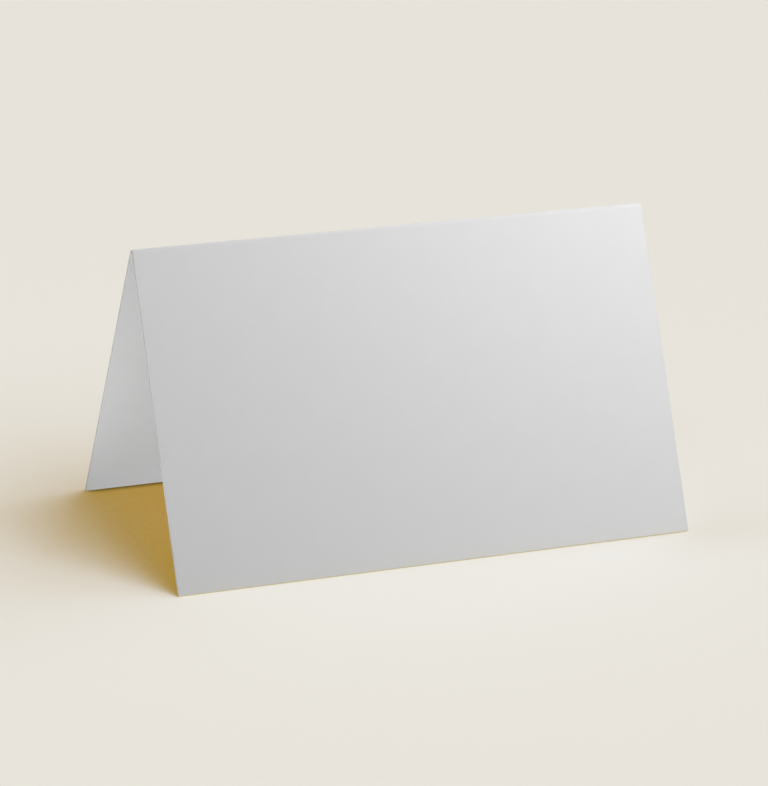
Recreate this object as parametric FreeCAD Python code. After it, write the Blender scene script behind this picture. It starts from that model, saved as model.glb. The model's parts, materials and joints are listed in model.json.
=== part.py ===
# Tent place card: one sheet of stiff card, creased across its middle and folded into a tent.
#
# It stands on the cut ends of its two leaves. The outer face rolls round the crease in one smooth arc.
# Inside the fold, the bead that the creasing rule raised thickens the card and keeps the crease sharp.
# The blade that trimmed the sheet went in from the outer face, so that face rolls over at its cut edges.
#
# Millimetres. +Z is up, +X runs along the fold, and +Y points from the front leaf to the rear leaf.
# The origin is on the table, under the middle of the fold.
import FreeCAD, Part

import math
import os

# Driving dimensions, in millimetres and degrees.
sheet_width = 90.0  # along the fold
sheet_length = 112.0  # of the flat sheet, across the fold; the outer face keeps this length when folded
card_thickness = 0.5
opening_angle = 51.5  # between the two leaves
fold_radius = 0.8  # outer face of the card, round the crease
bead_height = 0.22  # what the creasing bead adds to the card's thickness, inside the fold
bead_radius = 0.25  # rounded underside of the bead
bead_root_radius = 0.08  # hollow where the bead runs into the inner face of each leaf
edge_rollover = 0.06  # rounding of the outer face at its cut edges

# The two leaves, as the sign of Y on the side where each one stands.
FRONT = -1
REAR = 1
LEAVES = (FRONT, REAR)

same_point = 1e-4  # two points nearer than this are one point

# Worked out from the driving dimensions.
lean = math.radians(opening_angle / 2)  # of each leaf from the vertical
wrap = math.pi / 2 - lean  # turn of the fold arc, from its crest to each leaf
leaf_length = sheet_length / 2 - fold_radius * wrap  # flat stretch, from the end of the arc to the cut end
inner_radius = fold_radius - card_thickness
axis_height = leaf_length * math.cos(lean) - inner_radius * math.sin(lean)  # of the fold arc's centre


def section_point(y, z):
    """A point of the section, which is drawn in the plane of the card's left end."""
    return FreeCAD.Vector(-sheet_width / 2, y, z)


def leaf_point(leaf, across, along):
    """A point of one leaf's section: across it from the fold's axis line, and along it from the fold."""
    y = across * math.cos(lean) + along * math.sin(lean)
    z = across * math.sin(lean) - along * math.cos(lean)
    return section_point(leaf * y, axis_height + z)


def crease_bead():
    """The bead's centre height, and where its root hollow is, as across and along in a leaf's terms."""
    crest = axis_height + fold_radius
    centre_height = crest - card_thickness - bead_height + bead_radius
    drop = axis_height - centre_height
    centre_across = -drop * math.sin(lean)
    centre_along = drop * math.cos(lean)
    root_across = inner_radius - bead_root_radius
    reach = bead_radius + bead_root_radius
    root_along = centre_along + math.sqrt(reach ** 2 - (root_across - centre_across) ** 2)
    return centre_height, root_across, root_along


def between(start, end, distance):
    """The point at a distance from start, on the way to end."""
    way = end - start
    return start + way * (distance / way.Length)


def line(start, end):
    """A straight edge."""
    return Part.LineSegment(start, end).toShape()


def arc(start, middle, end):
    """A circular edge through three points."""
    return Part.Arc(start, middle, end).toShape()


def outer_line():
    """Edges of the outer face: down the front leaf, round the fold, and down the rear leaf."""
    starts = {leaf: leaf_point(leaf, fold_radius, 0) for leaf in LEAVES}
    ends = {leaf: leaf_point(leaf, fold_radius, leaf_length) for leaf in LEAVES}
    crest = section_point(0, axis_height + fold_radius)
    return [
        line(ends[FRONT], starts[FRONT]),
        arc(starts[FRONT], crest, starts[REAR]),
        line(starts[REAR], ends[REAR]),
    ]


def leaf_inside(leaf):
    """One leaf's cut end, inner face and bead root, with the point where the root meets the bead."""
    centre_height, root_across, root_along = crease_bead()
    bead_centre = section_point(0, centre_height)
    root_centre = leaf_point(leaf, root_across, root_along)
    outer_end = leaf_point(leaf, fold_radius, leaf_length)
    inner_end = leaf_point(leaf, inner_radius, leaf_length)
    root_on_leaf = leaf_point(leaf, inner_radius, root_along)
    root_on_bead = between(bead_centre, root_centre, bead_radius)
    halfway = (root_on_leaf + root_on_bead) / 2
    root_middle = between(root_centre, halfway, bead_root_radius)
    edges = [
        line(outer_end, inner_end),
        line(inner_end, root_on_leaf),
        arc(root_on_leaf, root_middle, root_on_bead),
    ]
    return edges, root_on_bead


def folded_section():
    """The closed outline of the folded sheet, seen along the fold."""
    rear_edges, rear_root = leaf_inside(REAR)
    front_edges, front_root = leaf_inside(FRONT)
    centre_height = crease_bead()[0]
    bead_bottom = section_point(0, centre_height - bead_radius)
    bead = arc(rear_root, bead_bottom, front_root)
    return Part.Wire(outer_line() + rear_edges + [bead] + front_edges[::-1])


def cut_rim(sheet):
    """The edges of the solid where its outer face meets the trimmed sides and ends."""
    along_fold = FreeCAD.Vector(sheet_width, 0, 0)
    sides = [edge.CenterOfMass for edge in outer_line()]
    middles = sides + [point + along_fold for point in sides]
    middles += [leaf_point(leaf, fold_radius, leaf_length) + along_fold / 2 for leaf in LEAVES]
    return [
        edge
        for edge in sheet.Edges
        if any(edge.CenterOfMass.distanceToPoint(middle) < same_point for middle in middles)
    ]


def folded_card():
    """The whole card as one solid."""
    sheet = Part.Face(folded_section()).extrude(FreeCAD.Vector(sheet_width, 0, 0))
    return sheet.makeFillet(edge_rollover, cut_rim(sheet))


os.makedirs("parts", exist_ok=True)
folded_card().exportStep("parts/card.step")
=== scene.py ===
"""Tent place card: its card stock, the table it stands on, the light and the camera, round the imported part.

The card is one sheet. It is laid out flat with its trimmed rim, then folded along its crease, so that the
fibres run on from one leaf to the other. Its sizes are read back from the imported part.

Metres. +X runs along the fold, +Y points from the front leaf to the rear leaf, and +Z is up from the table.
"""
import functools
import json
import logging
from dataclasses import dataclass, field
from enum import Enum
from math import atan2, cos, dist, pi, radians, sin, sqrt
from typing import Any, ClassVar, Union

import bpy
from mathutils import Matrix, Vector

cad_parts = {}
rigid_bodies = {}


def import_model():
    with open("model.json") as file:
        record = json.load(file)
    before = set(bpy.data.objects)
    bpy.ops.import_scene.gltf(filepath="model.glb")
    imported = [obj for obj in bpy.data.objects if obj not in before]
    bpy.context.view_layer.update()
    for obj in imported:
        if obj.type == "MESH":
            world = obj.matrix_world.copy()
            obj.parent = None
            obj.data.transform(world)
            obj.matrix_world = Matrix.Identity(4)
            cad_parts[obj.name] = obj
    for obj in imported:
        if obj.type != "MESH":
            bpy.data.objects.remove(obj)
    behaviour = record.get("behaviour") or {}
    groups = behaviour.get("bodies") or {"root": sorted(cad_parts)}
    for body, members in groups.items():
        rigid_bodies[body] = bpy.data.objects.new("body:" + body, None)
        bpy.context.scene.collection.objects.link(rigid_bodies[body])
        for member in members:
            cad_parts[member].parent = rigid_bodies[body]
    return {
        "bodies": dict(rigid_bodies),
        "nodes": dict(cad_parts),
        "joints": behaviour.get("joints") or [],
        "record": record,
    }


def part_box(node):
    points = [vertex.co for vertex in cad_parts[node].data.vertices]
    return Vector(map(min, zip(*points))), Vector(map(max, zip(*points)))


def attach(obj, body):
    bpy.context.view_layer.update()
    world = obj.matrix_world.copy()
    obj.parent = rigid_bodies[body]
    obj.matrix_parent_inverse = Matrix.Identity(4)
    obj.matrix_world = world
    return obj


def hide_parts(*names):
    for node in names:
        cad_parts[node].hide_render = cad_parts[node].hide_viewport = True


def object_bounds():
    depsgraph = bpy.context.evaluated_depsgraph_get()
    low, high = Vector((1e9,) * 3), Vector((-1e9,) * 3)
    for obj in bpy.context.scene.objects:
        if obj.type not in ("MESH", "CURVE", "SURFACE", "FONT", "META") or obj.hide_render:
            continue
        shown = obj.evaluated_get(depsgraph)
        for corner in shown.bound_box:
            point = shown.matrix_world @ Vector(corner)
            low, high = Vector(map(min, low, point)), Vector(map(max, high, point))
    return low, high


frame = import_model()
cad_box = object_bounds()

Frame = dict[str, Any]
Object = bpy.types.Object
Socket = bpy.types.NodeSocket
Sockets = bpy.types.NodeOutputs
Source = Union[Socket, float, tuple[float, ...]]
Given = dict[Union[str, int], Source]  # what a node's inputs take, by name or number
Colour = tuple[float, float, float]
Opaque = tuple[float, float, float, float]
Edges = tuple[float, float, float, float]  # where a mask leaves 0, reaches 1, leaves 1 and is 0 again
Cell = tuple[int, int]  # a column and a row
Spread = tuple[float, float]  # a place on a flat plan
Corner = tuple[int, Spread]  # a point's number and its place on the bake's map

CARD_NODE = "card"
CARD_BODY = "root"
CARD_SLOT = "card_stock"
FRONT_MOUNT = "front_face"
PLACE = "sheet_place"  # the attribute with each point's place on the flat sheet
BAKE_MAP = "OFBake"  # the UV map that is laid out for baking
MM = 0.001
ON_IT = 0.01 * MM  # a point this near to a plane lies on it
FIRST_COLOUR, SECOND_COLOUR, MIXED_COLOUR = 6, 7, 2  # the Mix node's sockets for colours
BLACK = (0.0, 0.0, 0.0, 1.0)
WHITE = (1.0, 1.0, 1.0, 1.0)

log = logging.getLogger("place_card")


class Side(Enum):
    """The finish that a face of the sheet wears, by its place in the piece's material slots."""

    FACE = 0
    CUT = 1


def opaque(colour: Colour) -> Opaque:
    """A colour for a socket, which also takes an alpha."""
    return (*colour, 1.0)


def grey(level: float) -> Opaque:
    """A grey for a socket."""
    return (level, level, level, 1.0)


def placed(name: str, data: bpy.types.ID) -> Object:
    """Puts new data into the scene as an object.

    Args:
        name: the object's name.
        data: its mesh, light or camera.

    Returns:
        The object.
    """
    made = bpy.data.objects.new(name, data)
    bpy.context.scene.collection.objects.link(made)
    return made


def emptied(owner: Union[bpy.types.Material, bpy.types.World]) -> bpy.types.NodeTree:
    """Empties the tree of a new material or world.

    Args:
        owner: the material or world.

    Returns:
        Its tree.
    """
    owner.use_nodes = True
    owner.node_tree.nodes.clear()
    return owner.node_tree


@dataclass
class Bench:
    """Adds nodes to one shader tree and joins them."""

    tree: bpy.types.NodeTree

    def add(self, kind: str, given: Given, **settings: Any) -> bpy.types.Node:
        """Adds a node.

        Args:
            kind: the node's type, less its ShaderNode prefix.
            given: what its inputs take.
            settings: the node's own properties, by name.

        Returns:
            The new node.
        """
        node = self.tree.nodes.new("ShaderNode" + kind)
        for name, value in settings.items():
            setattr(node, name, value)
        for name, source in given.items():
            self.feed(node.inputs[name], source)
        return node

    def feed(self, socket: Socket, source: Source) -> None:
        """Joins a socket to an output, or gives it a plain value.

        Args:
            socket: the input to feed.
            source: the output of another node, or the value.
        """
        if isinstance(source, Socket):
            self.tree.links.new(source, socket)
        else:
            socket.default_value = source

    def sum(self, operation: str, *sources: Source) -> Socket:
        """What a Math node makes of its inputs."""
        return self.add("Math", dict(enumerate(sources)), operation=operation).outputs["Value"]

    def product(self, *factors: Source) -> Source:
        """Multiplies any number of values."""
        return functools.reduce(lambda first, second: self.sum("MULTIPLY", first, second), factors)

    def rest(self, share: Source) -> Socket:
        """What a share leaves of 1."""
        return self.sum("SUBTRACT", 1.0, share)

    def span(self, value: Source, start: Source, end: Source, low: Source, high: Source) -> Socket:
        """Carries a value smoothly from start and end to low and high, and holds it past the ends."""
        given = dict(enumerate((value, start, end, low, high)))
        return self.add("MapRange", given, interpolation_type="SMOOTHSTEP").outputs["Result"]

    def rise(self, value: Source, start: Source, end: Source) -> Socket:
        """A mask that rises smoothly from 0 to 1 while a value goes from start to end."""
        return self.span(value, start, end, 0.0, 1.0)

    def fall(self, value: Source, start: Source, end: Source) -> Socket:
        """A mask that falls smoothly from 1 to 0 while a value goes from start to end."""
        return self.span(value, start, end, 1.0, 0.0)

    def band(self, value: Source, edges: Edges) -> Source:
        """A mask that a value crosses: up at the first two edges and down at the last two."""
        return self.product(self.rise(value, *edges[:2]), self.fall(value, *edges[2:]))

    def blend(self, share: Source, first: Source, second: Source) -> Socket:
        """Mixes two colours: it is the first at a share of 0, and the second at a share of 1."""
        given = {"Factor": share, FIRST_COLOUR: first, SECOND_COLOUR: second}
        return self.add("Mix", given, data_type="RGBA").outputs[MIXED_COLOUR]

    def noise(self, place: Source, size: Source, detail: float, warp: float = 0.0) -> Socket:
        """Adds a noise pattern.

        Args:
            place: where the pattern is read.
            size: across one blot, in the units of the place.
            detail: how many finer octaves it has.
            warp: how far the pattern is bent.

        Returns:
            The pattern's value, about a half.
        """
        scale = self.sum("DIVIDE", 1.0, size)
        given = {"Vector": place, "Scale": scale, "Detail": detail, "Distortion": warp}
        return self.add("TexNoise", given).outputs["Fac"]

    def stretched(self, place: Source, stretch: Source, turn: float) -> Socket:
        """Turns a place in the plane of the sheet, then divides it by a stretch along each axis.

        Args:
            place: the place to stretch.
            stretch: how far the pattern is drawn out along X, Y and Z.
            turn: the angle in the sheet's plane, in radians.

        Returns:
            The stretched place.
        """
        turned = self.add("VectorRotate", {"Vector": place, "Angle": turn}, rotation_type="Z_AXIS")
        given = {0: turned.outputs["Vector"], 1: stretch}
        return self.add("VectorMath", given, operation="DIVIDE").outputs["Vector"]

    def two_fold(self, unseen: Socket, seen: Socket) -> Socket:
        """Joins two shaders into one.

        Args:
            unseen: what lights other surfaces.
            seen: what the camera, a mirror or glass sees.

        Returns:
            The joined shader.
        """
        path = self.add("LightPath", {}).outputs
        straight = self.sum("MAXIMUM", path["Is Camera Ray"], path["Is Glossy Ray"])
        directly = self.sum("MAXIMUM", straight, path["Is Transmission Ray"])
        return self.add("MixShader", {"Fac": directly, 1: unseen, 2: seen}).outputs["Shader"]


@dataclass(frozen=True)
class Pattern:
    """A shader group that reads each point's place on the flat sheet and puts out masks from 0 to 1."""

    NAME: ClassVar[str]
    MASKS: ClassVar[tuple[str, ...]]  # its outputs

    def draw(self, bench: Bench, given: Sockets) -> tuple[Source, ...]:
        """Draws the masks from what the group was given, in the order of MASKS."""
        raise NotImplementedError

    def group(self, inputs: Given) -> bpy.types.NodeTree:
        """The shader group, built the first time that it is asked for.

        Args:
            inputs: what it takes, by name. A plain number makes a number input, and all else a vector one.

        Returns:
            The group.
        """
        if self.NAME in bpy.data.node_groups:
            return bpy.data.node_groups[self.NAME]
        tree = bpy.data.node_groups.new(self.NAME, "ShaderNodeTree")
        for name, value in inputs.items():
            kind = "NodeSocketFloat" if isinstance(value, float) else "NodeSocketVector"
            tree.interface.new_socket(name, in_out="INPUT", socket_type=kind)
        for name in self.MASKS:
            tree.interface.new_socket(name, in_out="OUTPUT", socket_type="NodeSocketFloat")
        bench = Bench(tree)
        masks = self.draw(bench, tree.nodes.new("NodeGroupInput").outputs)
        for socket, mask in zip(tree.nodes.new("NodeGroupOutput").inputs, masks):
            bench.feed(socket, mask)
        return tree

    def place_in(self, bench: Bench, values: Given) -> Sockets:
        """Places the group in a material.

        Args:
            bench: the material's bench.
            values: what its inputs take, besides the place on the sheet.

        Returns:
            The group's outputs.
        """
        place = bench.add("Attribute", {}, attribute_name=PLACE).outputs["Vector"]
        inputs = {"Place": place, **values}
        return bench.add("Group", inputs, node_tree=self.group(inputs)).outputs


@dataclass(frozen=True)
class Pulp(Pattern):
    """Paper pulp: the felted fibres and faint clouds that every cut and face of the card shows."""

    NAME: ClassVar[str] = "pulp"
    MASKS: ClassVar[tuple[str, ...]] = ("Cloud", "Tooth", "Fibre", "Height")
    fibre_turns_deg: tuple[float, ...] = (8.0, 67.0, -52.0)  # the ways that the fibres mostly lie
    fibre_bend: float = 0.6
    fibre_sharpness: float = 9.0
    fibre_detail: float = 1.0
    fibre_height: float = 0.45  # its share of the height; the tooth has the rest
    cloud_detail: float = 3.0
    cloud_span: Spread = (0.3, 0.7)  # the part of the noise that it comes from
    tooth_detail: float = 2.0
    tooth_span: Spread = (0.25, 0.75)

    def draw(self, bench: Bench, given: Sockets) -> tuple[Source, ...]:
        """Draws the clouds, the tooth, the fibres and the height that these make.

        Args:
            bench: the group's bench.
            given: what the group was given.

        Returns:
            The masks in the order of MASKS.
        """
        place = given["Place"]
        cloud = bench.rise(bench.noise(place, given["Cloud Size"], self.cloud_detail), *self.cloud_span)
        tooth = bench.rise(bench.noise(place, given["Tooth Size"], self.tooth_detail), *self.tooth_span)
        fibre = self.felt(bench, given)
        rest = bench.product(tooth, 1.0 - self.fibre_height)
        return cloud, tooth, fibre, bench.sum("MULTIPLY_ADD", fibre, self.fibre_height, rest)

    def felt(self, bench: Bench, given: Sockets) -> Source:
        """Lays fibres over each other in each of their ways.

        Args:
            bench: the group's bench.
            given: what the group was given.

        Returns:
            How much of a fibre there is at the surface, from 0 to 1.
        """
        top: Source = 0.0
        for turn in self.fibre_turns_deg:
            place = bench.stretched(given["Place"], given["Stretch"], radians(turn))
            ridge = bench.noise(place, given["Fibre Width"], self.fibre_detail, self.fibre_bend)
            off = bench.sum("ABSOLUTE", bench.sum("SUBTRACT", ridge, 0.5))
            top = bench.sum("MAXIMUM", top, bench.rest(bench.product(off, self.fibre_sharpness)))
        return top


@dataclass(frozen=True)
class Working(Pattern):
    """What creasing and trimming leave on the card: fibres pulled up along the crease, and a soft rim."""

    NAME: ClassVar[str] = "working"
    MASKS: ClassVar[tuple[str, ...]] = ("Crease", "Rim")
    half_width: float  # of the flat sheet
    half_length: float
    crease_reach: float = 1.4 * MM  # how far the pulled fibres go to each side of the crease
    rim_reach: float = 0.4 * MM  # how far in from the trimmed rim the face is soft
    patch_size: float = 0.8 * MM  # of the patches that break both of them up
    patch_detail: float = 3.0
    patch_span: Spread = (0.35, 0.65)
    patch_least: float = 0.3  # what is left between the patches

    def draw(self, bench: Bench, given: Sockets) -> tuple[Source, ...]:
        """Draws the crease and the rim, broken up by patches.

        Args:
            bench: the group's bench.
            given: what the group was given.

        Returns:
            The masks in the order of MASKS.
        """
        split = bench.add("SeparateXYZ", {"Vector": given["Place"]}).outputs
        across, along = (bench.sum("ABSOLUTE", split[axis]) for axis in ("X", "Y"))
        patches = bench.noise(given["Place"], self.patch_size, self.patch_detail)
        patches = bench.span(patches, *self.patch_span, self.patch_least, 1.0)
        crease = bench.fall(along, 0.0, self.crease_reach)
        to_side = bench.sum("SUBTRACT", self.half_width, across)
        to_end = bench.sum("SUBTRACT", self.half_length, along)
        rim = bench.fall(bench.sum("MINIMUM", to_side, to_end), 0.0, self.rim_reach)
        return bench.product(crease, patches), bench.product(rim, patches)


@dataclass(frozen=True)
class Finish:
    """What a surface of the card looks like. Sizes are in metres."""

    name: str
    white: Colour
    stretch: tuple[float, float, float]
    fibre_width: float
    tooth_size: float
    cloud_size: float
    shade_depth: float  # how much darker the darkest pulp is than the lightest, as a share
    roughness_low: float
    roughness_high: float
    relief: float  # how high the fibres and the tooth stand
    worn_white: float = 0.95  # what the fibres pulled up at the crease and the rim turn towards
    worn_share: float = 0.05  # how far they turn
    worn_roughness: float = 0.05  # what they add to the roughness
    worn_relief: float = 0.8  # what they add to the relief, as a share
    cloud_light: float = 0.35  # what the clouds, the fibres and the tooth each add to the lightness
    fibre_light: float = 0.35
    tooth_light: float = 0.3
    specular: float = 0.3

    def toned(self, share: float) -> Opaque:
        """The card's white, made darker by a share."""
        return opaque(tuple(part * (1 - share) for part in self.white))

    def lightness(self, bench: Bench, pulp: Sockets) -> Socket:
        """How light the pulp is at each point, from 0 to 1.

        Args:
            bench: the material's bench.
            pulp: the pulp group's outputs.

        Returns:
            The lightness.
        """
        tooth = bench.product(pulp["Tooth"], self.tooth_light)
        fine = bench.sum("MULTIPLY_ADD", pulp["Fibre"], self.fibre_light, tooth)
        return bench.sum("MULTIPLY_ADD", pulp["Cloud"], self.cloud_light, fine)

    def material(self, working: Working) -> bpy.types.Material:
        """Builds the material.

        Args:
            working: what creasing and trimming leave on the card.

        Returns:
            The new material.
        """
        material = bpy.data.materials.new(self.name)
        bench = Bench(emptied(material))
        sizes = {
            "Stretch": self.stretch,
            "Fibre Width": self.fibre_width,
            "Tooth Size": self.tooth_size,
            "Cloud Size": self.cloud_size,
        }
        pulp = Pulp().place_in(bench, sizes)
        masks = working.place_in(bench, {})
        worn = bench.sum("MAXIMUM", masks["Crease"], masks["Rim"])
        stock = bench.blend(self.lightness(bench, pulp), self.toned(self.shade_depth), self.toned(0.0))
        pulled = bench.product(masks["Crease"], self.worn_share)
        rough = bench.span(pulp["Tooth"], 0.0, 1.0, self.roughness_low, self.roughness_high)
        raised = bench.sum("MULTIPLY_ADD", worn, self.worn_relief, 1.0)
        height = bench.product(pulp["Height"], raised)
        bump = bench.add("Bump", {"Height": height, "Distance": self.relief})
        given = {
            "Base Color": bench.blend(pulled, stock, grey(self.worn_white)),
            "Roughness": bench.sum("MULTIPLY_ADD", worn, self.worn_roughness, rough),
            "Specular IOR Level": self.specular,
            "Normal": bump.outputs["Normal"],
        }
        surface = bench.add("BsdfPrincipled", given).outputs["BSDF"]
        bench.add("OutputMaterial", {"Surface": surface})
        return material


@dataclass(frozen=True)
class FoldedSection:
    """The section of the folded sheet, with its sizes in metres and radians."""

    width: float
    lean: float  # of each leaf from the vertical
    fold_radius: float
    thickness: float
    axis_height: float  # of the fold arc's centre
    leaf_length: float  # flat stretch, from the end of the arc to the cut end
    rollover: float  # rounding of the outer face at its cut edges
    bead_drop: float  # from the crest to the underside of the bead
    bead_share: float = 0.5  # the bead's radius as a share of the thickness
    root_share: float = 0.16  # the radius of the hollow beside the bead, as a share of the thickness

    @classmethod
    def of_frame(cls, packed: Frame) -> "FoldedSection":
        """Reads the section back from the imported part.


        Returns:
            The section.
        """
        low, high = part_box(CARD_NODE)
        mount = next(m for m in packed["record"]["mounts"] if m["name"] == FRONT_MOUNT)
        outward, spot = Vector(mount["axis"]), Vector(mount["pos_m"])
        lean = atan2(outward.z, -outward.y)
        slope, rise = cos(lean), sin(lean)
        reach = outward.dot(spot)  # from the origin square to the outer face of a leaf
        fold_radius = (reach / rise - high.z) / (1 / rise - 1)
        axis_height = high.z - fold_radius
        points = [vertex.co for vertex in packed["nodes"][CARD_NODE].data.vertices]
        foot = max(point.y for point in points if point.z - low.z < ON_IT)
        thickness = reach - foot * slope
        leaf_length = (axis_height - low.z + (fold_radius - thickness) * rise) / slope
        corner = fold_radius * slope + leaf_length * rise
        rollover = (corner - high.y) / (slope + rise - 1)
        under = min(point.z for point in points if abs(point.y) < ON_IT)
        return cls(
            width=high.x - low.x,
            lean=lean,
            fold_radius=fold_radius,
            thickness=thickness,
            axis_height=axis_height,
            leaf_length=leaf_length,
            rollover=rollover,
            bead_drop=high.z - under,
        )

    @property
    def wrap(self) -> float:
        """Turn of the fold arc, from its crest to each leaf."""
        return pi / 2 - self.lean

    @property
    def half_length(self) -> float:
        """Of the flat sheet, from its crease to a cut end."""
        return self.leaf_length + self.fold_radius * self.wrap

    @property
    def foot(self) -> float:
        """From the middle to the edge that each leaf rests on."""
        return self.folded(self.half_length, self.thickness)[0]

    @property
    def raised(self) -> float:
        """How far the outer edge of a leaf's cut end stands out over the edge that it rests on."""
        return self.folded(self.half_length, 0.0)[0] - self.foot

    def folded(self, along: float, depth: float) -> Spread:
        """Where a point of the flat sheet is once the sheet is folded.

        Args:
            along: from the crease, square to it, positive on the rear leaf.
            depth: below the outer face.

        Returns:
            The point's Y and Z.
        """
        turn = max(-self.wrap, min(self.wrap, along / self.fold_radius))
        beyond = along - turn * self.fold_radius
        out = self.fold_radius - depth
        y = out * sin(turn) + beyond * cos(turn)
        z = self.axis_height + out * cos(turn) - beyond * sin(turn)
        return y, z

    def outer_line(self, down: int, round_fold: int) -> list[float]:
        """Where the outer face is divided, from the front leaf's cut end to the rear one's.

        Args:
            down: divisions of each leaf.
            round_fold: divisions of the fold.

        Returns:
            Distances along the flat sheet from its crease.
        """
        arc_end = self.fold_radius * self.wrap
        end = self.half_length - self.rollover
        front = [-end + (end - arc_end) * step / down for step in range(down)]
        fold = [arc_end * (2 * step / round_fold - 1) for step in range(round_fold + 1)]
        rear = [-along for along in reversed(front)]
        return front + fold + rear

    def inner_line(self, down: int, round_bead: int, round_root: int) -> list[Spread]:
        """The inner face's outline.

        Args:
            down: divisions of each leaf.
            round_bead: divisions of each half of the bead.
            round_root: divisions of the hollow beside it.

        Returns:
            The Y and Z of each point, from the front leaf's cut end to the rear one's.
        """
        bead = self.thickness * self.bead_share
        root = self.thickness * self.root_share
        inner = self.fold_radius - self.thickness
        normal = Vector((cos(self.lean), sin(self.lean)))
        downward = Vector((sin(self.lean), -cos(self.lean)))
        axis = Vector((0, self.axis_height))
        drop = self.bead_drop - self.fold_radius - bead
        bead_centre = Vector((0, self.axis_height - drop))
        root_across = inner - root
        sideways = root_across + drop * sin(self.lean)
        root_along = drop * cos(self.lean) + sqrt((bead + root) ** 2 - sideways**2)
        root_centre = axis + normal * root_across + downward * root_along
        meeting = (root_centre - bead_centre).normalized()
        bead_turn = atan2(meeting.x, -meeting.y)
        rear = []
        for step in range(round_bead + 1):
            turn = bead_turn * step / round_bead
            rear.append(bead_centre + Vector((sin(turn), -cos(turn))) * bead)
        swing = (-meeting).angle(normal)
        for step in range(1, round_root + 1):
            turn = swing * step / round_root
            way = (normal * sin(turn) - meeting * sin(swing - turn)) / sin(swing)
            rear.append(root_centre + way * root)
        leaf_top = axis + normal * inner + downward * root_along
        leaf_end = axis + normal * inner + downward * self.leaf_length
        rear += [leaf_top.lerp(leaf_end, step / down) for step in range(1, down + 1)]
        front = [Vector((-point.x, point.y)) for point in reversed(rear[1:])]
        return [(point.x, point.y) for point in front + rear]


@dataclass
class Sheet:
    """The mesh of the sheet while it is being made."""

    points: list[Vector] = field(default_factory=list)
    places: list[Vector] = field(default_factory=list)
    faces: list[tuple[int, ...]] = field(default_factory=list)
    sides: list[Side] = field(default_factory=list)
    layout: list[Spread] = field(default_factory=list)
    sharp_deg: float = 40.0  # an edge that turns more than this stays sharp

    def point(self, where: Vector, place: Vector) -> int:
        """Adds a point.

        Args:
            where: its place on the folded card.
            place: its place on the flat sheet.

        Returns:
            Its number.
        """
        self.points.append(where)
        self.places.append(place)
        return len(self.points) - 1

    def face(self, side: Side, corners: list[Corner]) -> None:
        """Adds a face.

        Args:
            side: its finish.
            corners: its corners in order.
        """
        self.faces.append(tuple(number for number, _ in corners))
        self.sides.append(side)
        self.layout.extend(place for _, place in corners)

    def object(self, name: str, materials: list[bpy.types.Material]) -> Object:
        """Turns what was gathered into an object.

        Args:
            name: the piece's name.
            materials: the materials in the order of Side.

        Returns:
            The new object, linked to the scene.
        """
        mesh = bpy.data.meshes.new(name)
        mesh.from_pydata(self.points, [], self.faces)
        for material in materials:
            mesh.materials.append(material)
        mesh.polygons.foreach_set("material_index", [side.value for side in self.sides])
        places = mesh.attributes.new(PLACE, "FLOAT_VECTOR", "POINT")
        places.data.foreach_set("vector", [part for place in self.places for part in place])
        layer = mesh.uv_layers.new(name=BAKE_MAP)
        layer.uv.foreach_set("vector", [part for place in self.layout for part in place])
        mesh.shade_smooth()
        mesh.set_sharp_from_angle(angle=radians(self.sharp_deg))
        mesh.update()
        return placed(name, mesh)


@dataclass
class Grid:
    """One face of the sheet, divided into columns along the fold and rows across it."""

    xs: list[float]  # where its columns are
    alongs: list[float]  # where its rows are, from the crease
    outline: list[Spread]  # the Y and Z of each row on the folded card
    inside: bool  # whether it is the inner face
    numbers: dict[Cell, int] = field(default_factory=dict)  # of its points

    @property
    def last(self) -> Cell:
        """The last column and row."""
        return len(self.xs) - 1, len(self.alongs) - 1

    def border(self) -> list[Cell]:
        """The cells round its edge, in order.

        Returns:
            The column and row of each.
        """
        columns, rows = self.last
        return (
            [(column, 0) for column in range(columns)]
            + [(columns, row) for row in range(rows)]
            + [(column, rows) for column in range(columns, 0, -1)]
            + [(0, row) for row in range(rows, 0, -1)]
        )

    def beyond(self, cell: Cell, distance: float) -> Spread:
        """The place on the flat sheet that lies off an edge cell, out past the edge of the face."""
        out_x, out_along = ((here == end) - (here == 0) for here, end in zip(cell, self.last))
        return self.xs[cell[0]] + out_x * distance, self.alongs[cell[1]] + out_along * distance


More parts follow.
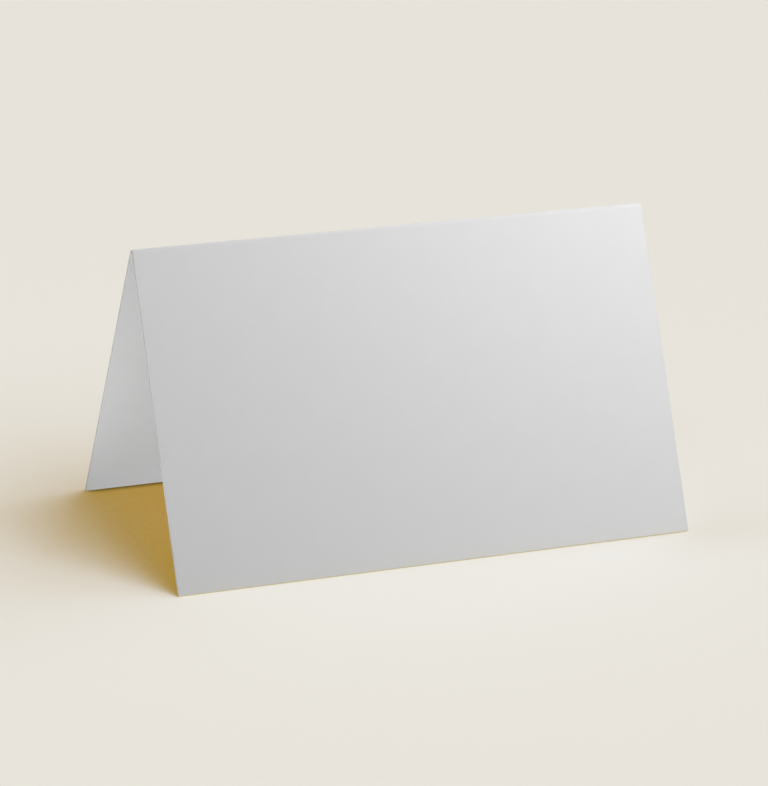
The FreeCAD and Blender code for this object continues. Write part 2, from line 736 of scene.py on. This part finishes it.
@dataclass
class FoldedCard:
    """The card: one sheet, trimmed, creased and folded into a tent."""

    section: FoldedSection
    white: Colour  # of the card stock
    across: int = 36  # divisions along the fold
    down: int = 22  # of each leaf
    round_fold: int = 28
    round_root: int = 4
    round_rim: int = 3
    map_margin: float = 0.006  # of the bake's map, round each side of the sheet
    # the cut edges are darker partly for the cut fibres' own grey, partly as painted shade on the thin cut
    cut_white: float = 0.79  # how white the cut edges are, as a share of the faces
    sheet: Sheet = field(default_factory=Sheet)

    def finishes(self) -> list[Finish]:
        """The card's finishes in the order of Side.

        Returns:
            The finishes.
        """
        face = Finish(
            name="card_face",
            white=self.white,
            stretch=(14.0, 1.0, 1.0),
            fibre_width=0.07 * MM,
            tooth_size=0.42 * MM,
            cloud_size=5.0 * MM,
            shade_depth=0.03,
            roughness_low=0.84,
            roughness_high=0.94,
            relief=0.004 * MM,
        )
        cut = Finish(
            name="cut_edge",
            white=tuple(self.cut_white * part for part in self.white),
            stretch=(9.0, 9.0, 0.8),
            fibre_width=0.05 * MM,
            tooth_size=0.12 * MM,
            cloud_size=3.0 * MM,
            shade_depth=0.09,
            roughness_low=0.9,
            roughness_high=0.98,
            relief=0.012 * MM,
        )
        return [face, cut]

    def map_place(self, place: Spread, inside: bool = False) -> Spread:
        """Lays the two sides of the flat sheet next to each other on the bake's map.

        Args:
            place: along the fold, and from the crease.
            inside: whether it is on the inner face.

        Returns:
            The place on the map.
        """
        half_width = self.section.width / 2 + self.section.thickness
        half_length = self.section.half_length + self.section.thickness
        side = 0.5 - 2 * self.map_margin
        u = self.map_margin + side * (place[0] / half_width + 1) / 2 + (0.5 if inside else 0.0)
        v = self.map_margin + (1 - 2 * self.map_margin) * (place[1] / half_length + 1) / 2
        return u, v

    def columns(self, half: float) -> list[float]:
        """Where the columns of a face are, from its middle to half its width on each side."""
        return [(2 * step / self.across - 1) * half for step in range(self.across + 1)]

    def outer_grid(self) -> Grid:
        """Plans the outer face inside its rolled rim.

        Returns:
            The face's grid.
        """
        xs = self.columns(self.section.width / 2 - self.section.rollover)
        alongs = self.section.outer_line(self.down, self.round_fold)
        outline = [self.section.folded(along, 0.0) for along in alongs]
        return Grid(xs, alongs, outline, inside=False)

    def inner_grid(self) -> Grid:
        """Plans the inner face with the bead under the fold.

        Returns:
            The face's grid.
        """
        round_bead = self.round_fold // 2 - self.round_root
        outline = self.section.inner_line(self.down, round_bead, self.round_root)
        lengths = [0.0]
        for before, after in zip(outline, outline[1:]):
            lengths.append(lengths[-1] + dist(before, after))
        alongs = [length - lengths[-1] / 2 for length in lengths]
        return Grid(self.columns(self.section.width / 2), alongs, outline, inside=True)

    def lay(self, grid: Grid) -> None:
        """Adds one face of the card.

        Args:
            grid: the face's grid, which takes the points' numbers.
        """
        depth = self.section.thickness if grid.inside else 0.0
        for column, x in enumerate(grid.xs):
            for row, (along, (y, z)) in enumerate(zip(grid.alongs, grid.outline)):
                point = self.sheet.point(Vector((x, y, z)), Vector((x, along, depth)))
                grid.numbers[column, row] = point
        square = [(0, 0), (0, 1), (1, 1), (1, 0)] if grid.inside else [(0, 0), (1, 0), (1, 1), (0, 1)]
        columns, rows = grid.last
        for column in range(columns):
            for row in range(rows):
                cells = [(column + right, row + up) for right, up in square]
                self.sheet.face(Side.FACE, [self.corner(grid, cell) for cell in cells])

    def corner(self, grid: Grid, cell: Cell) -> Corner:
        """A corner of a face, at a cell of its grid."""
        place = (grid.xs[cell[0]], grid.alongs[cell[1]])
        return grid.numbers[cell], self.map_place(place, grid.inside)

    def rim_point(self, grid: Grid, cell: Cell, turn: float) -> Corner:
        """Adds a point of the outer face's rolled edge.

        Args:
            grid: the outer face's grid.
            cell: the edge cell that it belongs to.
            turn: round the roll, from the flat face.

        Returns:
            The point as a corner.
        """
        radius = self.section.rollover
        depth = radius * (1 - cos(turn))
        x, along = grid.beyond(cell, radius * sin(turn))
        y, z = self.section.folded(along, depth)
        point = self.sheet.point(Vector((x, y, z)), Vector((x, along, depth)))
        return point, self.map_place(grid.beyond(cell, radius * turn))

    def rim(self, outer: Grid, inner: Grid) -> None:
        """Joins the two faces round the sheet: the outer face's rolled edge, then the cut itself.

        Args:
            outer: the outer face's grid.
            inner: the inner face's grid.
        """
        ring = outer.border()
        across_cut = self.section.thickness + self.section.rollover * (pi / 2 - 1)
        loops = [[self.corner(outer, cell) for cell in ring]]
        for step in range(1, self.round_rim + 1):
            turn = pi / 2 * step / self.round_rim
            loops.append([self.rim_point(outer, cell, turn) for cell in ring])
        ends = (self.map_place(outer.beyond(cell, across_cut)) for cell in ring)
        loops.append([(inner.numbers[cell], end) for cell, end in zip(ring, ends)])
        for number, (near, far) in enumerate(zip(loops, loops[1:])):
            side = Side.FACE if number == 0 else Side.CUT
            for spot in range(len(ring)):
                after = (spot + 1) % len(ring)
                self.sheet.face(side, [near[spot], far[spot], far[after], near[after]])

    def build(self) -> Object:
        """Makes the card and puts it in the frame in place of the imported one.

        Returns:
            The card.
        """
        outer, inner = self.outer_grid(), self.inner_grid()
        self.lay(outer)
        self.lay(inner)
        self.rim(outer, inner)
        working = Working(half_width=self.section.width / 2, half_length=self.section.half_length)
        materials = [finish.material(working) for finish in self.finishes()]
        card = self.sheet.object("folded_card", materials)
        flats = card.modifiers.new("flat_leaves", "WEIGHTED_NORMAL")
        flats.keep_sharp = True
        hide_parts(CARD_NODE)
        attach(card, CARD_BODY)
        return card


@dataclass(frozen=True)
class Bearing:
    """A direction from the card. Angles are in degrees."""

    azimuth: float  # 0 is in front of the card, and 90 to its right
    elevation: float

    def way(self) -> Vector:
        """The direction, with a length of 1."""
        turn, rise = radians(self.azimuth), radians(self.elevation)
        return Vector((sin(turn) * cos(rise), -cos(turn) * cos(rise), sin(rise)))


@dataclass(frozen=True)
class Stand:
    """How the card stands on the table. All but its width is in card widths."""

    width: float  # of the card, in metres
    foot: float  # from the middle to the edge that each leaf rests on
    raised: float  # from there out to the leaf's outer edge, which is clear of the table

    @property
    def edge(self) -> float:
        """From the middle to the outer edge of each leaf."""
        return self.foot + self.raised


@dataclass
class TableBench(Bench):
    """A bench for the table's paint. It knows the place that it paints, in card widths from the middle."""

    stand: Stand

    def __post_init__(self) -> None:
        """Reads the place."""
        given = {0: self.add("NewGeometry", {}).outputs["Position"], "Scale": 1.0 / self.stand.width}
        scaled = self.add("VectorMath", given, operation="SCALE").outputs["Vector"]
        split = self.add("SeparateXYZ", {"Vector": scaled}).outputs
        self.rightward = split["X"]
        self.backward = split["Y"]
        self.forward = self.product(split["Y"], -1.0)
        self.aside = self.sum("ABSOLUTE", split["X"])
        self.from_fold = self.sum("ABSOLUTE", split["Y"])
        self.in_front = self.sum("GREATER_THAN", self.forward, self.stand.foot)

    def painted(self, colour: Source, glow: Source) -> Socket:
        """A matt paint with a painted glow of its own: light it gives of itself, though it is no lamp.

        Args:
            colour: the paint.
            glow: the colour of that painted glow, which shows where no light falls.

        Returns:
            The shader.
        """
        paint = self.add("BsdfDiffuse", {"Color": colour}).outputs["BSDF"]
        light = self.add("Emission", {"Color": glow}).outputs["Emission"]
        return self.add("AddShader", {0: paint, 1: light}).outputs["Shader"]

    def within(self, start: float, end: float) -> Socket:
        """A mask of the table between the feet, which falls between two shares of the way to them."""
        return self.fall(self.from_fold, start * self.stand.foot, end * self.stand.foot)


@dataclass(frozen=True)
class Shade:
    """Painted shade: how much the table's paint is darkened where the card closes it in, by ambient occlusion
    turned towards one side.
    """

    towards: Bearing  # the side that counts most
    reach: float  # how far off the card still counts, in card widths
    closed: float  # how open the table is where the shade is deepest, as a share
    open: float  # how open it is where the shade ends
    depth: float  # what the deepest shade takes away, as a share
    rays: int = 24  # that feel for the card from each point

    def mask(self, bench: TableBench) -> Socket:
        """The mask of the painted shade.

        Args:
            bench: the table's bench.

        Returns:
            The mask, from 1 in the open down to 1 less the depth.
        """
        way = bench.add("CombineXYZ", dict(enumerate(self.towards.way()))).outputs["Vector"]
        given = {"Distance": self.reach * bench.stand.width, "Normal": way}
        around = bench.add("AmbientOcclusion", given, samples=self.rays).outputs["AO"]
        return bench.span(around, self.closed, self.open, 1.0 - self.depth, 1.0)


@dataclass(frozen=True)
class Glow:
    """The painted colour of the card's shade on the table: a warm glow of the table's own, though it is no
    lamp.
    """

    near: Colour = (0.367, 0.219, 0.01)  # beside the card
    deep: Colour = (0.414, 0.247, 0.033)  # further under it
    ends: Spread = (0.4, 0.52)  # where it turns from deep to near, from the middle, in card widths
    inset: float = 0.9  # where it does by the feet, as a share of the way to them

    def colour(self, bench: TableBench) -> Socket:
        """The colour of that painted glow."""
        under = bench.product(bench.fall(bench.aside, *self.ends), bench.within(self.inset, 1.0))
        return bench.blend(under, opaque(self.near), opaque(self.deep))


@dataclass(frozen=True)
class Spill:
    """Painted shade past the card's right end: the table's paint is made duller where the card's inside
    throws light out, to take that light back.
    """

    depth: float = 0.08  # what is taken from the paint, as a share
    edges: Edges = (0.3, 0.5, 0.5, 0.9)  # to the right of the middle, in card widths
    past_feet: float = 1.7  # how far it goes forwards and back, as a share of the way to the feet

    def kept(self, bench: TableBench) -> Socket:
        """The share of its paint that the table keeps."""
        past_end = bench.band(bench.rightward, self.edges)
        return bench.rest(bench.product(past_end, bench.within(1.0, self.past_feet), self.depth))


@dataclass(frozen=True)
class Lift:
    """A painted glow, though it is no lamp: the light that the table beside and under the card gives the
    card's inside, unseen itself.
    """

    level: float = 0.41
    edges: Edges = (-1.7, -1.4, 0.1, 0.4)  # to the right of the middle, in card widths
    side_level: float = 1.8  # the further light on the left, clear of the card's shade
    side_edges: Edges = (-1.35, -1.25, -0.74, -0.64)
    fade: float = 0.01  # how softly it all ends at the card's feet, in card widths

    def light(self, bench: TableBench) -> Socket:
        """The light that it gives.

        Args:
            bench: the table's bench.

        Returns:
            The colour of the light.
        """
        foot = bench.stand.foot
        most = self.level + self.side_level
        beside = bench.band(bench.rightward, self.side_edges)
        share = bench.sum("MULTIPLY_ADD", beside, self.side_level / most, self.level / most)
        along = bench.band(bench.rightward, self.edges)
        across = bench.fall(bench.from_fold, foot, foot + self.fade)
        return bench.blend(bench.product(share, across, along), BLACK, grey(most))


@dataclass(frozen=True)
class FrontEdge:
    """Painted light at the raised outer edge of the front leaf: the table glows warm under the edge, and
    gives warm light back from just in front of it.
    """

    # a painted glow under the edge
    glow: Colour = (0.60, 0.50, 0.32)  # the light under the edge
    # painted warm light that the table in front of the edge gives back to the card
    warm_bounce: Colour = (0.84, 0.76, 0.42)  # what the table in front of it gives back
    reach: float = 0.012  # how far in front it does, in card widths

    def under(self, bench: TableBench) -> Source:
        """A mask of the table under the edge, from 1 where the leaf rests to 0 at its outer edge."""
        falling = bench.fall(bench.forward, bench.stand.foot, bench.stand.edge)
        return bench.product(falling, bench.in_front, bench.sum("LESS_THAN", bench.aside, 0.5))

    def before(self, bench: TableBench) -> Source:
        """A mask of the strip that the leaf's lower edge looks down on, 1 there and 0 at its far side."""
        falling = bench.fall(bench.forward, bench.stand.edge, bench.stand.edge + self.reach)
        return bench.product(falling, bench.in_front)


@dataclass
class Table:
    """The pale table top that the card stands on."""

    stand: Stand
    reach: float = 40.0  # half the table's side, in card widths
    # the seen paint: with the painted glow added, it reads cream where lit and gold in the painted shade
    top: Colour = (0.448, 0.567, 0.713)
    bounce: float = 0.72  # how white it is to the card
    # the painted shadow of the card, deepest on the side away from the windows
    shade: Shade = Shade(Bearing(60.0, 45.0), reach=0.8, closed=0.28, open=0.57, depth=0.92)
    # the painted contact shade where the card touches the table
    contact: Shade = Shade(Bearing(0.0, 90.0), reach=0.04, closed=0.27, open=0.58, depth=0.66)
    glow: Glow = Glow()
    spill: Spill = Spill()
    lift: Lift = Lift()
    front_edge: FrontEdge = FrontEdge()

    def seen(self, bench: TableBench) -> Socket:
        """The table that is seen: pale cream with a painted warm shade over the real shadow, and a painted
        contact shade, darkest where the card touches it.

        Args:
            bench: the table's bench.

        Returns:
            The shader.
        """
        foot = self.stand.foot
        # the contact, shade and spill masks are painted shade; the glow is the painted colour that the shade
        # takes
        behind_foot = bench.rise(bench.backward, -foot, self.stand.raised - foot)
        contact = bench.rest(bench.product(bench.rest(self.contact.mask(bench)), behind_foot))
        shade = bench.product(contact, self.shade.mask(bench), self.spill.kept(bench))
        cream = bench.blend(shade, BLACK, opaque(self.top))
        glow = bench.blend(contact, BLACK, self.glow.colour(bench))
        glow = bench.blend(self.front_edge.under(bench), glow, opaque(self.front_edge.glow))
        return bench.painted(cream, glow)

    def unseen(self, bench: TableBench) -> Socket:
        """The table as it lights the card: neutral, with the lift's painted glow, apart from the painted warm
        light at the front leaf's edge.

        Args:
            bench: the table's bench.

        Returns:
            The shader.
        """
        edge = self.front_edge
        back = bench.blend(edge.before(bench), grey(self.bounce), opaque(edge.warm_bounce))
        lift = bench.blend(edge.under(bench), self.lift.light(bench), opaque(edge.glow))
        return bench.painted(back, lift)

    def material(self) -> bpy.types.Material:
        """Builds the table's paint: one side of it for the camera and one for the card.

        Returns:
            The new material.
        """
        material = bpy.data.materials.new("table_top")
        material.cycles.emission_sampling = "NONE"
        bench = TableBench(emptied(material), self.stand)
        bench.add("OutputMaterial", {"Surface": bench.two_fold(self.unseen(bench), self.seen(bench))})
        return material

    def build(self) -> Object:
        """Makes the table top at the height of the card's foot.

        Returns:
            The table top.
        """
        side = self.reach * self.stand.width
        corners = [(-side, -side, 0), (side, -side, 0), (side, side, 0), (-side, side, 0)]
        mesh = bpy.data.meshes.new("table_top")
        mesh.from_pydata(corners, [], [(0, 1, 2, 3)])
        mesh.materials.append(self.material())
        table = placed("table_top", mesh)
        return table


class Lit(Enum):
    """What a lamp lights, where flags keep it off the rest."""

    CARD = "card"
    TABLE = "table"


@dataclass(frozen=True)
class Lamp:
    """A lamp that points at the card."""

    KIND: ClassVar[str]
    name: str
    bearing: Bearing
    distance: float  # in card widths
    level: float  # what it adds to a white surface that faces it, where 1 is the colour as written
    lit: Lit

    def settings(self, width: float) -> dict[str, Any]:
        """The settings of its light, for a card of a width."""
        raise NotImplementedError

    def build(self, centre: Vector, width: float, staged: dict[Lit, Object]) -> Object:
        """Makes the lamp and sets its flags.

        Args:
            centre: the middle of the card.
            width: of the card.
            staged: what there is to light.

        Returns:
            The lamp.
        """
        data = bpy.data.lights.new(self.name, self.KIND)
        for name, value in self.settings(width).items():
            setattr(data, name, value)
        lamp = placed(self.name, data)
        lamp.location = centre + self.bearing.way() * self.distance * width
        lamp.rotation_euler = self.bearing.way().to_track_quat("Z", "Y").to_euler()
        lit = bpy.data.collections.new(self.name + "_lights")
        lit.objects.link(staged[self.lit])
        lamp.light_linking.receiver_collection = lit
        return lamp


@dataclass(frozen=True)
class SoftBox(Lamp):
    """A round soft box near the card."""

    KIND: ClassVar[str] = "AREA"
    size: float  # across, in card widths

    def settings(self, width: float) -> dict[str, Any]:
        """The settings of its light, for a card of a width."""
        energy = self.level * (pi * self.distance * width) ** 2
        return {"shape": "DISK", "size": self.size * width, "energy": energy}


@dataclass(frozen=True)
class WideWindow(Lamp):
    """A large window so far off that its light is the same all over the table."""

    KIND: ClassVar[str] = "SUN"
    angle: float  # that it takes up of the view, in degrees

    def settings(self, width: float) -> dict[str, Any]:
        """The settings of its light, the same for every card."""
        return {"angle": radians(self.angle), "energy": self.level * pi}


@dataclass
class Studio:
    """The lamps and the sky round the card."""

    lamps: tuple[Lamp, ...] = (
        WideWindow("front_window", Bearing(30.0, 45.0), distance=10.0, level=0.67, lit=Lit.TABLE, angle=45.0),
        WideWindow("side_window", Bearing(88.0, 44.0), distance=10.0, level=0.64, lit=Lit.TABLE, angle=67.0),
        SoftBox("key_soft_box", Bearing(43.5, 45.5), distance=2.15, level=0.655, lit=Lit.CARD, size=1.5),
        SoftBox("left_soft_box", Bearing(-62.0, 12.0), distance=3.0, level=0.07, lit=Lit.CARD, size=1.8),
        SoftBox("top_soft_box", Bearing(-95.0, 61.0), distance=4.44, level=0.28, lit=Lit.CARD, size=3.55),
        SoftBox("rear_soft_box", Bearing(170.0, 30.0), distance=6.0, level=0.36, lit=Lit.CARD, size=3.6),
    )
    sky_level: float = 0.05
    sky_seen: Colour = (0.79, 0.77, 0.72)

    def sky(self) -> bpy.types.World:
        """Builds the world: a plain soft light, seen as a pale backdrop.

        Returns:
            The new world.
        """
        world = bpy.data.worlds.new("studio")
        bench = Bench(emptied(world))
        light = bench.add("Background", {"Color": WHITE, "Strength": self.sky_level})
        backdrop = bench.add("Background", {"Color": opaque(self.sky_seen)})
        both = bench.two_fold(light.outputs["Background"], backdrop.outputs["Background"])
        bench.add("OutputWorld", {"Surface": both})
        return world

    def build(self, centre: Vector, width: float, staged: dict[Lit, Object]) -> list[Object]:
        """Sets the sky and makes the lamps, round the middle of a card of a width."""
        bpy.context.scene.world = self.sky()
        return [lamp.build(centre, width, staged) for lamp in self.lamps]


@dataclass
class Viewpoint:
    """Where the camera stands. Angles are in degrees."""

    bearing: Bearing = Bearing(-22.42, 19.78)
    roll: float = 1.65
    distance: float = 6.8343  # in card widths
    lens_mm: float = 168.81
    sensor_mm: float = 36.0
    clip_start: float = 0.1  # in card widths
    clip_end: float = 1000.0
    aim_right: float = -0.0068  # of the middle of the fold, in card widths
    aim_height: float = 0.41929  # in card heights

    def build(self, width: float, height: float) -> Object:
        """Makes the camera and gives it to the scene.

        Args:
            width: of the card.
            height: of the card.

        Returns:
            The camera.
        """
        back = self.bearing.way()
        right = Vector((0.0, 0.0, 1.0)).cross(back).normalized()
        up = back.cross(right)
        level = Matrix((right, up, back)).transposed().to_4x4()
        data = bpy.data.cameras.new("camera")
        data.sensor_width = self.sensor_mm
        data.lens = self.lens_mm
        data.clip_start = self.clip_start * width
        data.clip_end = self.clip_end * width
        camera = placed("camera", data)
        aim = right * self.aim_right * width + Vector((0.0, 0.0, self.aim_height * height))
        spot = Matrix.Translation(aim + back * self.distance * width)
        camera.matrix_world = spot @ level @ Matrix.Rotation(radians(self.roll), 4, "Z")
        bpy.context.scene.camera = camera
        return camera


def stock_white(record: dict[str, Any]) -> Colour:
    """The colour of the card stock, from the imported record."""
    return tuple(next(m["base_color"] for m in record["materials"] if m["slot"] == CARD_SLOT))


def report(piece: Object) -> None:
    """Logs a piece's name and size."""
    size = ", ".join(f"{side / MM:.2f}" for side in piece.dimensions)
    log.info("%s: %d faces, %s mm", piece.name, len(piece.data.polygons), size)


def main() -> None:
    """Builds the card, the table, the light and the camera, in that order."""
    logging.basicConfig(level=logging.INFO, format="%(name)s %(message)s")
    scene = bpy.context.scene
    scene.view_settings.view_transform = "Standard"
    low, high = cad_box
    width, height = high.x - low.x, high.z - low.z
    section = FoldedSection.of_frame(frame)
    card = FoldedCard(section, stock_white(frame["record"])).build()
    table = Table(Stand(width, section.foot / width, section.raised / width)).build()
    for piece in (card, table):
        report(piece)
    for lamp in Studio().build((low + high) / 2, width, {Lit.CARD: card, Lit.TABLE: table}):
        log.info("%s: %.3f W", lamp.name, lamp.data.energy)
    Viewpoint().build(width, height)


if __name__ == "__main__":
    main()
